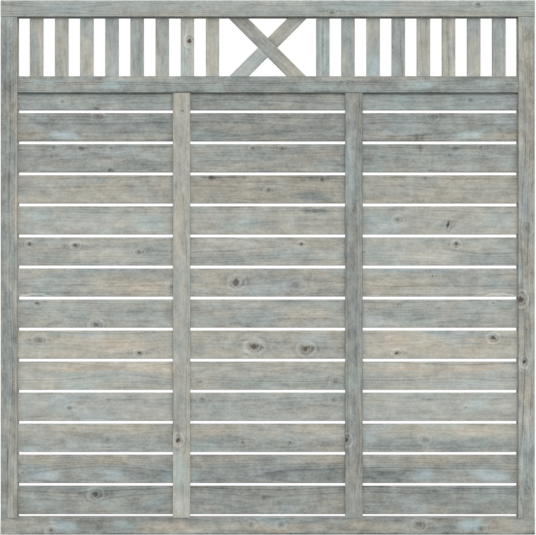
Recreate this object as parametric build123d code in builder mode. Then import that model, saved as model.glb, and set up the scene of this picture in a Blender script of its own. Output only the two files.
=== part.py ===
from build123d import *
import os
from math import asin, atan2, cos, degrees, hypot, sin

# Wooden fence panel: a planed softwood frame, filled with horizontal boards behind two upright
# battens, with a lattice of pickets and a halved diagonal cross under its top rail.
# Millimetres, +Z is up, the front looks towards -Y, the origin is the middle of the underside.

# Frame stock
panel_width = 1800.0
panel_height = 1800.0
frame_depth = 45.0
stile_width = 56.0
top_rail_height = 56.0
mid_rail_height = 56.0
bottom_rail_height = 56.0
frame_arris = 2.5

# Groove in the frame, which takes the ends of boards, pickets and braces
groove_depth = 12.0
groove_play = 0.2
swelling_room = 2.0

# Horizontal boards
infill_thickness = 16.0
board_width = 95.0
board_gap = 10.0
board_arris = 2.5

# Lattice of upright pickets with a diagonal cross in the middle bay
lattice_height = 200.0
pickets_per_side = 8
picket_width = 45.0
picket_arris = 2.0
cross_bay_width = 328.0
brace_width = 45.0
brace_arris = 2.0
brace_margin = 21.0
lap_play = 0.1

# Upright battens on the front of the boards
batten_count = 2
batten_width = 59.0
batten_thickness = 12.0
batten_arris = 2.0

# Countersunk screws in the joints of the frame, set a little below the wood
screw_diameter = 6.0
screw_head = 11.5
screw_length = 100.0
screw_play = 0.15
head_recess = 0.6

# Staples shot from behind through each board into each batten
staple_crown = 12.0
staple_wire = 1.5
staple_play = 0.1
staple_recess = 0.4
staple_cover = 3.0

# Stub tenon of a stile in the bottom rail
tenon_shoulder = 10.0

# Levels and places that follow from the sizes above
half_width = panel_width / 2
half_infill = infill_thickness / 2
inner_half = half_width - stile_width
top_rail_bottom = panel_height - top_rail_height
mid_rail_top = top_rail_bottom - lattice_height
mid_rail_bottom = mid_rail_top - mid_rail_height
mid_rail_centre = (mid_rail_top + mid_rail_bottom) / 2
groove_width = infill_thickness + 2 * groove_play
tongue_length = groove_depth - swelling_room

# Boards stand on a gap above the bottom rail, and the last one is ripped to fit under the mid rail
board_pitch = board_width + board_gap
first_board = bottom_rail_height + board_gap
full_boards = int((mid_rail_bottom - first_board) // board_pitch)
board_bottoms = [first_board + row * board_pitch for row in range(full_boards + 1)]
board_length = 2 * (inner_half + tongue_length)
ripped_top = mid_rail_bottom + tongue_length

# Pickets and braces stand on the floor of the mid rail's groove and reach into the top rail's
lattice_foot = mid_rail_top - groove_depth
lattice_head = top_rail_bottom + tongue_length
lattice_centre = (lattice_foot + lattice_head) / 2
picket_gap = (inner_half - cross_bay_width / 2) / pickets_per_side - picket_width
picket_pitch = picket_width + picket_gap
brace_rise = lattice_head - lattice_foot
brace_spread = cross_bay_width - 2 * brace_margin
brace_angle = atan2(brace_rise, brace_spread) + asin(brace_width / hypot(brace_rise, brace_spread))

# Battens part the distance between the stiles' centre lines evenly
batten_pitch = (panel_width - stile_width) / (batten_count + 1)
batten_places = [
    (stile_width - panel_width) / 2 + (place + 1) * batten_pitch for place in range(batten_count)
]
staple_length = infill_thickness + batten_thickness - staple_cover - staple_recess

# Stiles keep their full wood outside the groove, and the joint's screw and tenon are centred on it
stile_solid = stile_width - groove_depth
tenon_width = stile_solid - 2 * tenon_shoulder
joint_places = [side * (half_width - stile_solid / 2) for side in (-1, 1)]

os.makedirs("parts", exist_ok=True)


def across(x, y, z):
    """Plane square to the X axis at a point, for the section of a piece that lies along the panel."""
    return Plane(origin=(x, y, z), x_dir=(0, 1, 0), z_dir=(1, 0, 0))


def facing(x, y, z, direction, along):
    """Plane at a point on a surface, looking out of the wood: fasteners go in against it."""
    return Plane(origin=(x, y, z), x_dir=along, z_dir=direction)


def planed(width, height, arris):
    """Section of a planed piece, a rectangle with its corners taken off."""
    section = Rectangle(width, height)
    chamfer(section.vertices(), length=arris)


def write(piece, name):
    """Label a finished piece and write it as its own file."""
    piece.part.label = name
    export_step(piece.part, f"parts/{name}.step")


def screw_pilot():
    """Straight hole for the shank of a screw, measured from the wood where it goes in."""
    Hole(screw_diameter / 2 + screw_play, depth=screw_length + head_recess + screw_play)


def screw_seat():
    """Hole with a seat for a 90 degree head that lies a little below the wood."""
    seat_radius = screw_head / 2 + head_recess + screw_play
    CounterSinkHole(screw_diameter / 2 + screw_play, seat_radius, counter_sink_angle=90)


def staple_slots():
    """Seat for the crown of a staple and a slot for each leg, measured from the wood where it goes in."""
    slot = staple_wire + 2 * staple_play
    crown_depth = staple_recess + staple_wire + staple_play
    leg_depth = staple_recess + staple_length + staple_play
    leg_place = (staple_crown - staple_wire) / 2
    Box(staple_crown + 2 * staple_play, slot, 2 * crown_depth, mode=Mode.SUBTRACT)
    with Locations((-leg_place, 0, 0), (leg_place, 0, 0)):
        Box(slot, slot, 2 * leg_depth, mode=Mode.SUBTRACT)


def fastener_group(name, fastener, places):
    """All like fasteners of one kind, each a solid of its own in one node."""
    with BuildPart() as group:
        with Locations(*places):
            add(fastener)
    write(group, name)


# Where each fastener goes in
top_screws = [facing(x, 0, panel_height, (0, 0, 1), (1, 0, 0)) for x in joint_places]
bottom_screws = [facing(x, 0, 0, (0, 0, -1), (1, 0, 0)) for x in joint_places]
side_screws = [facing(side * half_width, 0, mid_rail_centre, (side, 0, 0), (0, 0, 1)) for side in (-1, 1)]
staple_levels = [bottom + board_width / 2 for bottom in board_bottoms[:-1]]
staple_levels.append((board_bottoms[-1] + mid_rail_bottom) / 2)
staples = [
    [facing(x, half_infill, level, (0, 1, 0), (0, 0, 1)) for x in batten_places] for level in staple_levels
]

# Places of the pickets, counted from each stile towards the cross
picket_places = [
    side * (inner_half - picket_gap - picket_width / 2 - place * picket_pitch)
    for side in (-1, 1)
    for place in range(pickets_per_side)
]

# Top rail: runs over both stiles, grooved below for the lattice
with BuildPart() as top_rail:
    with BuildSketch(across(0, 0, panel_height - top_rail_height / 2)):
        planed(frame_depth, top_rail_height, frame_arris)
        with Locations((0, -top_rail_height / 2)):
            Rectangle(groove_width, groove_depth, align=(Align.CENTER, Align.MIN), mode=Mode.SUBTRACT)
    extrude(amount=half_width, both=True)
    with Locations(*top_screws):
        screw_seat()
write(top_rail, "top_rail")

# Bottom rail: no groove, so that no water stands in it, and a blind mortise for each stile's tenon
with BuildPart() as bottom_rail:
    with BuildSketch(across(0, 0, bottom_rail_height / 2)):
        planed(frame_depth, bottom_rail_height, frame_arris)
    extrude(amount=half_width, both=True)
    with BuildSketch(Plane((0, 0, bottom_rail_height))):
        with Locations(*[(x, 0) for x in joint_places]):
            Rectangle(tenon_width + 2 * groove_play, groove_width)
    extrude(amount=-groove_depth, mode=Mode.SUBTRACT)
    with Locations(*bottom_screws):
        screw_seat()
write(bottom_rail, "bottom_rail")

# Mid rail: between the stiles, grooved above and below, with a stub tenon in each stile's groove
with BuildPart() as mid_rail:
    with BuildSketch(across(0, 0, mid_rail_centre)):
        planed(frame_depth, mid_rail_height, frame_arris)
        with Locations((0, -mid_rail_height / 2), (0, mid_rail_height / 2 - groove_depth)):
            Rectangle(groove_width, groove_depth, align=(Align.CENTER, Align.MIN), mode=Mode.SUBTRACT)
    extrude(amount=inner_half, both=True)
    with BuildSketch(across(0, 0, mid_rail_centre)):
        Rectangle(infill_thickness, mid_rail_height - 2 * groove_depth)
    extrude(amount=inner_half + tongue_length, both=True)
    with Locations(*side_screws):
        screw_pilot()
write(mid_rail, "mid_rail")

# Stiles: stand between the rails, grooved on the inside, with a stub tenon at each end
for side, name in ((-1, "left_stile"), (1, "right_stile")):
    stile_centre = side * (half_width - stile_width / 2)
    joint_place = side * (half_width - stile_solid / 2)
    with BuildPart() as stile:
        with BuildSketch(Plane((stile_centre, 0, bottom_rail_height))):
            planed(stile_width, frame_depth, frame_arris)
            with Locations((side * (groove_depth - stile_width) / 2, 0)):
                Rectangle(groove_depth, groove_width, mode=Mode.SUBTRACT)
        extrude(amount=top_rail_bottom - bottom_rail_height)
        with BuildSketch(Plane((joint_place, 0, top_rail_bottom))):
            Rectangle(stile_solid, infill_thickness)
        extrude(amount=tongue_length)
        with BuildSketch(Plane((joint_place, 0, bottom_rail_height))):
            Rectangle(tenon_width, infill_thickness)
        extrude(amount=-tongue_length)
        with Locations(*[place for place in top_screws + bottom_screws if place.origin.X * side > 0]):
            screw_pilot()
        with Locations(*[place for place in side_screws if place.origin.X * side > 0]):
            screw_seat()
    write(stile, name)

# Boards: planed, with eased edges, their ends loose in the stiles' grooves
for row, bottom in enumerate(board_bottoms[:-1]):
    with BuildPart() as board:
        with BuildSketch(across(0, 0, bottom + board_width / 2)):
            planed(infill_thickness, board_width, board_arris)
        extrude(amount=board_length / 2, both=True)
        with Locations(*staples[row]):
            staple_slots()
    write(board, f"board_{row + 1:02d}")

# Ripped board: the uppermost, cut to the height that is left, its sawn edge in the mid rail's groove
with BuildPart() as ripped_board:
    with BuildSketch(across(0, 0, board_bottoms[-1])) as ripped_section:
        Rectangle(infill_thickness, ripped_top - board_bottoms[-1], align=(Align.CENTER, Align.MIN))
        chamfer(ripped_section.vertices().group_by(Axis.Y)[0], length=board_arris)
    extrude(amount=board_length / 2, both=True)
    with Locations(*staples[-1]):
        staple_slots()
write(ripped_board, "ripped_board")

# Battens: upright cover strips on the front of the boards, between the mid rail and the bottom rail
for place, x in enumerate(batten_places):
    with BuildPart() as batten:
        with BuildSketch(Plane((x, -half_infill - batten_thickness / 2, bottom_rail_height))):
            planed(batten_width, batten_thickness, batten_arris)
        extrude(amount=mid_rail_bottom - bottom_rail_height)
        with Locations(*[row[place] for row in staples]):
            staple_slots()
    write(batten, f"batten_{place + 1}")

# Pickets: short uprights in the grooves of the mid rail and the top rail
for index, x in enumerate(picket_places):
    side_name = "left" if x < 0 else "right"
    with BuildPart() as picket:
        with BuildSketch(Plane((x, 0, lattice_foot))):
            planed(picket_width, infill_thickness, picket_arris)
        extrude(amount=lattice_head - lattice_foot)
    write(picket, f"{side_name}_picket_{index % pickets_per_side + 1}")

# Braces: the diagonal cross, halved into each other so that both lie in the plane of the pickets
for turn, name in ((-1, "falling_brace"), (1, "rising_brace")):
    heading = (cos(brace_angle), 0, turn * sin(brace_angle))
    with BuildPart() as brace:
        with BuildSketch(Plane((0, 0, lattice_centre), x_dir=(0, 1, 0), z_dir=heading)):
            planed(infill_thickness, brace_width, brace_arris)
        extrude(amount=hypot(brace_rise, brace_spread), both=True)
        split(bisect_by=Plane((0, 0, lattice_head)), keep=Keep.BOTTOM)
        split(bisect_by=Plane((0, 0, lattice_foot)), keep=Keep.TOP)
        with BuildSketch(Plane((0, 0, lattice_centre), x_dir=(1, 0, 0), z_dir=(0, -turn, 0))):
            Rectangle(2 * brace_rise, brace_width + 2 * lap_play, rotation=-degrees(brace_angle))
        extrude(amount=infill_thickness, mode=Mode.SUBTRACT)
    write(brace, name)

# Screw: one for each joint of the frame, pointing down from a head just below the XY plane
with BuildPart() as screw:
    with BuildSketch(Plane.XZ):
        with BuildLine():
            Polyline(
                (0, -head_recess),
                (screw_head / 2, -head_recess),
                (screw_diameter / 2, -head_recess - (screw_head - screw_diameter) / 2),
                (screw_diameter / 2, -head_recess - screw_length + screw_diameter),
                (0, -head_recess - screw_length),
                close=True,
            )
        make_face()
    revolve(axis=Axis.Z)
fastener_group("frame_screws", screw.part, top_screws + bottom_screws + side_screws)

# Staple: a flat crown with two legs, pointing down from just below the XY plane
with BuildPart() as staple:
    with BuildSketch(Plane.XZ):
        with Locations((0, -staple_recess)):
            Rectangle(staple_crown, staple_length, align=(Align.CENTER, Align.MAX))
        with Locations((0, -staple_recess - staple_wire)):
            Rectangle(
                staple_crown - 2 * staple_wire,
                staple_length - staple_wire,
                align=(Align.CENTER, Align.MAX),
                mode=Mode.SUBTRACT,
            )
    extrude(amount=staple_wire / 2, both=True)
fastener_group("batten_staples", staple.part, [place for row in staples for place in row])
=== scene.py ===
from itertools import count

import bpy
import numpy as np
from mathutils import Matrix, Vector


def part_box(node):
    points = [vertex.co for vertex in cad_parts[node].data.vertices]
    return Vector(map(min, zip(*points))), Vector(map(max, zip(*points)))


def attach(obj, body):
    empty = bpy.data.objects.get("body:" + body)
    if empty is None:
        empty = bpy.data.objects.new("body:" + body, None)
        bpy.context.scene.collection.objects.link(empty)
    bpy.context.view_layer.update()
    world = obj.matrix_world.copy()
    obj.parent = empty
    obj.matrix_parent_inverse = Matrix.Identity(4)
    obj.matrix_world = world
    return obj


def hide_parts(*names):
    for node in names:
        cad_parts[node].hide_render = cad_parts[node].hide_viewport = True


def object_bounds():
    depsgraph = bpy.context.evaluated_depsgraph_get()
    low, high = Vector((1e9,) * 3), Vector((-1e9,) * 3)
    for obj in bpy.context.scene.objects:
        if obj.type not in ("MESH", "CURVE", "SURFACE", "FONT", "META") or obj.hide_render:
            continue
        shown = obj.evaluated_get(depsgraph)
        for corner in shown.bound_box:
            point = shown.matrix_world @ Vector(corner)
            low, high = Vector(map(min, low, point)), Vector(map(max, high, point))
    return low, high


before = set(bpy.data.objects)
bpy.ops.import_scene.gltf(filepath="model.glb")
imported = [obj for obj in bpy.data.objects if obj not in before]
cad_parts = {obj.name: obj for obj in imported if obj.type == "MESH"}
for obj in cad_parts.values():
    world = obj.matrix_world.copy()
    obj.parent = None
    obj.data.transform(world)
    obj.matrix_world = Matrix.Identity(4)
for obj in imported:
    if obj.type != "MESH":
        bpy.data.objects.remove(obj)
cad_low, cad_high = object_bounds()


# Bottom rail: a planed softwood bar that runs the full width of the panel, under both stiles.
# Cut square, its long edges eased with a moulder, dipped in a thin silver grey glaze,
# and fixed by one countersunk screw driven up into each stile.
mm = 0.001
flat_step = 3.5 * mm
along_step = 12 * mm
arc_steps = 4
hair = 0.01 * mm
frame_arris = 3 * mm
sawn_ease = 0.3 * mm
seat_radius = 6.5 * mm
seat_depth = 3.4 * mm
seat_step = 0.5 * mm
seat_reach = 7 * mm
wave_height = 2.5 * mm
wave_length = 45 * mm
end_height = 8 * mm
end_length = 9 * mm
end_share = 0.3
own_stretch = 3.7
heart_aside = 40 * mm
heart_near, heart_far = 30 * mm, 60 * mm
pieces_made = count(1)


def section(corners, radii, close=None):
    """Closed outline of a timber's section in (across, through), anticlockwise, and how rounded it is.

    A corner is an arc that begins one tangent length before it, which is its radius times the tangent
    of half the turn, and its normal swings evenly from one flat to the next. A flat has equal steps,
    or the close places that are given for it, measured from its middle.
    """
    corners = np.asarray(corners, float)
    radii = np.broadcast_to(radii, len(corners))
    heading = np.roll(corners, -1, axis=0) - corners
    heading = heading / np.linalg.norm(heading, axis=1)[:, None]
    behind = np.roll(heading, 1, axis=0)
    sideways = behind[:, 0] * heading[:, 1] - behind[:, 1] * heading[:, 0]
    turn = np.arctan2(sideways, (behind * heading).sum(1))
    tangent = (radii * np.tan(np.abs(turn) / 2))[:, None]
    begin, end = corners - tangent * behind, corners + tangent * heading
    outward = np.stack([behind[:, 1], -behind[:, 0]], axis=1)
    share = np.linspace(0, 1, arc_steps + 1)
    points, rounding = [], []
    for place in range(len(corners)):
        swing = turn[place] * share
        lean = outward[place]
        normal = np.stack([lean[0] * np.cos(swing) - lean[1] * np.sin(swing),
                           lean[0] * np.sin(swing) + lean[1] * np.cos(swing)], axis=1)
        bulge = np.sign(turn[place]) * radii[place]
        points.append(begin[place] + bulge * (normal - lean))
        rounding.append(4 * share * (1 - share) * (turn[place] > 0))
        start, stop = end[place], begin[(place + 1) % len(corners)]
        length = np.linalg.norm(stop - start)
        if close and place in close:
            steps = 0.5 + np.asarray(close[place]) / length
        else:
            steps = np.linspace(0, 1, max(2, round(length / flat_step)) + 1)[1:-1]
        points.append(start + steps[:, None] * (stop - start))
        rounding.append(np.zeros(len(steps)))
    return np.concatenate(points), np.concatenate(rounding)


def rectangle(width, height):
    """Corners of a section, anticlockwise from its lower rear."""
    return np.array([(-1, -1), (1, -1), (1, 1), (-1, 1)]) * (width / 2, height / 2)


def stations(start, stop, close=()):
    """Places along a timber: even steps, with finer ones instead where a fastener goes in."""
    plain = np.linspace(start, stop, max(2, round((stop - start) / along_step)) + 1)
    for fine in close:
        plain = plain[(plain < fine.min() - seat_step) | (plain > fine.max() + seat_step)]
    return np.unique(np.concatenate([plain, *close]))


def ring_faces(rings, sides):
    """Faces between neighbouring rings of points, each ring closed on itself."""
    first = (np.arange(rings - 1)[:, None] * sides + np.arange(sides)).ravel()
    beside = (np.arange(rings - 1)[:, None] * sides + np.roll(np.arange(sides), -1)).ravel()
    return np.stack([first, beside, beside + sides, first + sides], axis=1)


def bar(outline, rounding, places):
    """A section carried along a straight line, closed by a flat face at each end.

    The first and last outline are drawn in by the sawn ease, so that the cut edge is not razor sharp.
    Gives points as (along, across, through), roundness, how far a point is on a cut end, and faces.
    """
    lines = len(outline)
    step = np.roll(outline, -1, axis=0) - np.roll(outline, 1, axis=0)
    outward = np.stack([step[:, 1], -step[:, 0]], axis=1) / np.linalg.norm(step, axis=1)[:, None]
    first_place, last_place = places[:1], places[-1:]
    places = np.concatenate([first_place, first_place + sawn_ease, places[1:-1],
                             last_place - sawn_ease, last_place])
    cut = np.zeros(len(places))
    cut[[0, -1]] = 1
    grid = outline[None] - sawn_ease * cut[:, None, None] * outward[None]
    along = np.broadcast_to(places[:, None, None], (len(places), lines, 1))
    points = np.concatenate([along, grid], axis=2).reshape(-1, 3)
    quads = ring_faces(len(places), lines)
    ends = [np.arange(lines)[::-1], np.arange(lines) + (len(places) - 1) * lines]
    return points, np.tile(rounding, len(places)), np.repeat(cut, lines), quads, ends


def screw_seats(places, face):
    """Sinks a cone of 90 degrees into the flat of that sign for each screw: seat radius less the reach."""
    def sink(points):
        reach = np.hypot(points[:, :1] - np.asarray(places), points[:, 2:]).min(axis=1)
        height = face * points[:, 1]
        on_face = height > height.max() - hair
        points[:, 1] -= face * on_face * np.clip(seat_radius - reach, 0, seat_depth)
    return sink


def marks_on(points, marks):
    """Glaze at each point, and painted shade and highlight on a few edges: the sum of soft patches whose
    middle line and ends are slow waves.

    A patch weighs the exponential of minus the sum of its along share to the sixth power and its across
    share to the fourth, so that its ends are sharper than its sides. A mark is (along, across, half length,
    half width, warm, cool, light), with places and half sizes in millimetres.
    """
    glaze = np.zeros((len(points), 3))
    for number, (along, across, half_length, half_width, warm, cool, light) in enumerate(marks):
        wave = wave_height * np.sin(points[:, 0] / wave_length + number)
        end_wave = min(end_height, end_share * half_length * mm)
        ragged = end_wave * np.sin(points[:, 1] / end_length + 2 * number)
        end = (points[:, 0] - along * mm - ragged) / (half_length * mm)
        edge = (points[:, 1] - across * mm - wave) / (half_width * mm)
        glaze += np.exp(-end ** 6 - edge ** 4)[:, None] * np.array((warm, cool, light))
    return glaze


def put_in_scene(name, made):
    """A mesh, a lamp or a camera as an object of the scene."""
    thing = bpy.data.objects.new(name, made)
    bpy.context.scene.collection.objects.link(thing)
    return thing


def timber(node, axes, middle, bars, material, tone, knots=(), marks=(), cuts=()):
    """One glazed timber in place of its solid: bars merged, set out from the middle along three axes.

    Each corner of a face carries its place round the nearest knot, in knot radii, how dark that knot is
    and how far it bends the grain. Each point carries its place in the tree and how the glaze took there.
    Normals are the faces' sum, weighted by area.
    Each point carries its place in the tree and how the glaze took there, with the painted shade and
    highlight of some marks.
    as wide as it is long: a slit across the grain, or with less than one a figure drawn out along it.
    A tone is (warm, cool, light).
    """
    number = next(pieces_made)
    chance = np.random.default_rng(number)
    points = np.concatenate([made[0] for made in bars])
    rounding = np.concatenate([made[1] for made in bars])
    cut = np.concatenate([made[2] for made in bars])
    offsets = np.cumsum([0] + [len(made[0]) for made in bars])
    quads = np.concatenate([made[3] + offset for made, offset in zip(bars, offsets)])
    ends = [end + offset for made, offset in zip(bars, offsets) for end in made[4]]
    for sink in cuts:
        sink(points)
    places = np.asarray(middle) + points @ np.asarray(axes, float)

    mesh = bpy.data.meshes.new(node)
    mesh.from_pydata(places, [], quads.tolist() + [end.tolist() for end in ends])
    mesh.polygons.foreach_set("use_smooth", np.ones(len(mesh.polygons), bool))
    corner_a, corner_b, corner_c, corner_d = (places[quads[:, side]] for side in range(4))
    facing = np.cross(corner_c - corner_a, corner_d - corner_b)
    normals = np.zeros_like(places)
    for side in range(4):
        np.add.at(normals, quads[:, side], facing)
    along_axis = np.asarray(axes[0], float)
    for low_end, high_end in zip(ends[::2], ends[1::2]):
        normals[low_end] = -along_axis
        normals[high_end] = along_axis
    mesh.normals_split_custom_set_from_vertices(normals / np.linalg.norm(normals, axis=1)[:, None])

    aside = chance.uniform(-heart_aside, heart_aside)
    behind = chance.choice((-1, 1)) * chance.uniform(heart_near, heart_far)
    grain = points + (own_stretch * number, aside, behind)
    glaze = np.concatenate([marks_on(points, marks) + tone, cut[:, None]], axis=1)
    mesh.attributes.new("grain", "FLOAT_VECTOR", "POINT").data.foreach_set("vector", grain.ravel())
    mesh.attributes.new("glaze", "FLOAT_COLOR", "POINT").data.foreach_set("color", glaze.ravel())
    mesh.attributes.new("arris", "FLOAT", "POINT").data.foreach_set("value", rounding)

    no_knot = [(0, 1e5, 10, 0)]
    round_knot = 1
    knots = np.array([(*knot, round_knot)[:5] for knot in knots or no_knot], float)
    knot_place = knots[:, :2] * mm
    knot_size = np.stack([knots[:, 2], knots[:, 2] * knots[:, 4]], axis=1) * mm
    knot_bend = knot_size[:, 1:] * (knots[:, 4:] <= round_knot)
    corner = np.zeros(len(mesh.loops), np.int32)
    mesh.loops.foreach_get("vertex_index", corner)
    size = np.zeros(len(mesh.polygons), np.int32)
    mesh.polygons.foreach_get("loop_total", size)
    of_face = np.repeat(np.arange(len(size)), size)
    centre = np.stack([np.bincount(of_face, points[corner, axis]) / size for axis in (0, 1)], axis=1)
    reach = np.linalg.norm((centre[:, None] - knot_place) / knot_size, axis=2)
    nearest = reach.argmin(axis=1)[of_face]
    from_knot = (points[corner, :2] - knot_place[nearest]) / knot_size[nearest]
    around = np.concatenate([from_knot, knots[nearest, 3:4], knot_bend[nearest]], axis=1)
    mesh.attributes.new("knot", "FLOAT_COLOR", "CORNER").data.foreach_set("color", around.ravel())

    mesh.materials.append(material)
    piece = put_in_scene("glazed_" + node, mesh)
    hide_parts(node)
    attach(piece, "root")


class Wiring:
    """Short forms for one node tree: each adds a node, sets or links its inputs, and gives its output."""

    def __init__(self, tree):
        self.tree = tree

    def feed(self, made, inputs):
        """Links or sets a node's inputs, by name or number."""
        for place, value in dict(inputs).items():
            if isinstance(value, bpy.types.NodeSocket):
                self.tree.links.new(value, made.inputs[place])
            else:
                made.inputs[place].default_value = value

    def node(self, kind, inputs=(), **settings):
        """A node with its settings and its inputs."""
        made = self.tree.nodes.new(kind)
        for name, value in settings.items():
            setattr(made, name, value)
        self.feed(made, inputs)
        return made

    def calc(self, operation, *values):
        """One step of arithmetic."""
        return self.node("ShaderNodeMath", enumerate(values), operation=operation).outputs[0]

    def total(self, first, *weighed):
        """The first value, and each further one times its weight, added up."""
        for value, weight in weighed:
            first = self.calc("MULTIPLY_ADD", value, weight, first)
        return first

    def product(self, first, *others):
        """All values multiplied."""
        for value in others:
            first = self.calc("MULTIPLY", first, value)
        return first

    def reach(self, along, length, across):
        """Squared reach from the middle of an oval that is so many times as long as it is wide."""
        share = self.calc("DIVIDE", along, length)
        return self.total(self.product(share, share), (across, across))

    def attribute(self, name):
        """What a mesh carries under that name."""
        return self.node("ShaderNodeAttribute", attribute_name=name)

    def parts(self, vector):
        """The three parts of a vector."""
        return self.node("ShaderNodeSeparateXYZ", {0: vector}).outputs

    def joined(self, x, y, z):
        """A vector of three parts."""
        return self.node("ShaderNodeCombineXYZ", {0: x, 1: y, 2: z}).outputs[0]

    def noise(self, at, along, across, detail, rough=0.5):
        """Noise about nought, with so many grains in a metre along the first axis and across the others."""
        stretched = self.node("ShaderNodeVectorMath", {0: at, 1: (along, across, across)},
                              operation="MULTIPLY")
        made = self.node("ShaderNodeTexNoise", {
            "Vector": stretched.outputs[0], "Scale": 1, "Detail": detail, "Roughness": rough})
        return self.calc("SUBTRACT", made.outputs[0], 0.5)

    def between(self, value, low, high):
        """A soft step from nought at the low value to one at the high."""
        made = self.node("ShaderNodeMapRange", {0: value, 1: low, 2: high}, interpolation_type="SMOOTHSTEP")
        return made.outputs[0]

    def blend(self, share, first, second):
        """The second colour laid over the first."""
        return self.node("ShaderNodeMix", {0: share, 6: first, 7: second}, data_type="RGBA").outputs[2]


def paint(red, green, blue):
    """A colour as the eye reads it, 0 to 255, in the linear values that a shader takes."""
    share = np.array((red, green, blue)) / 255
    linear = np.where(share > 0.04045, ((share + 0.055) / 1.055) ** 2.4, share / 12.92)
    return (*linear.tolist(), 1.0)


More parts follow.
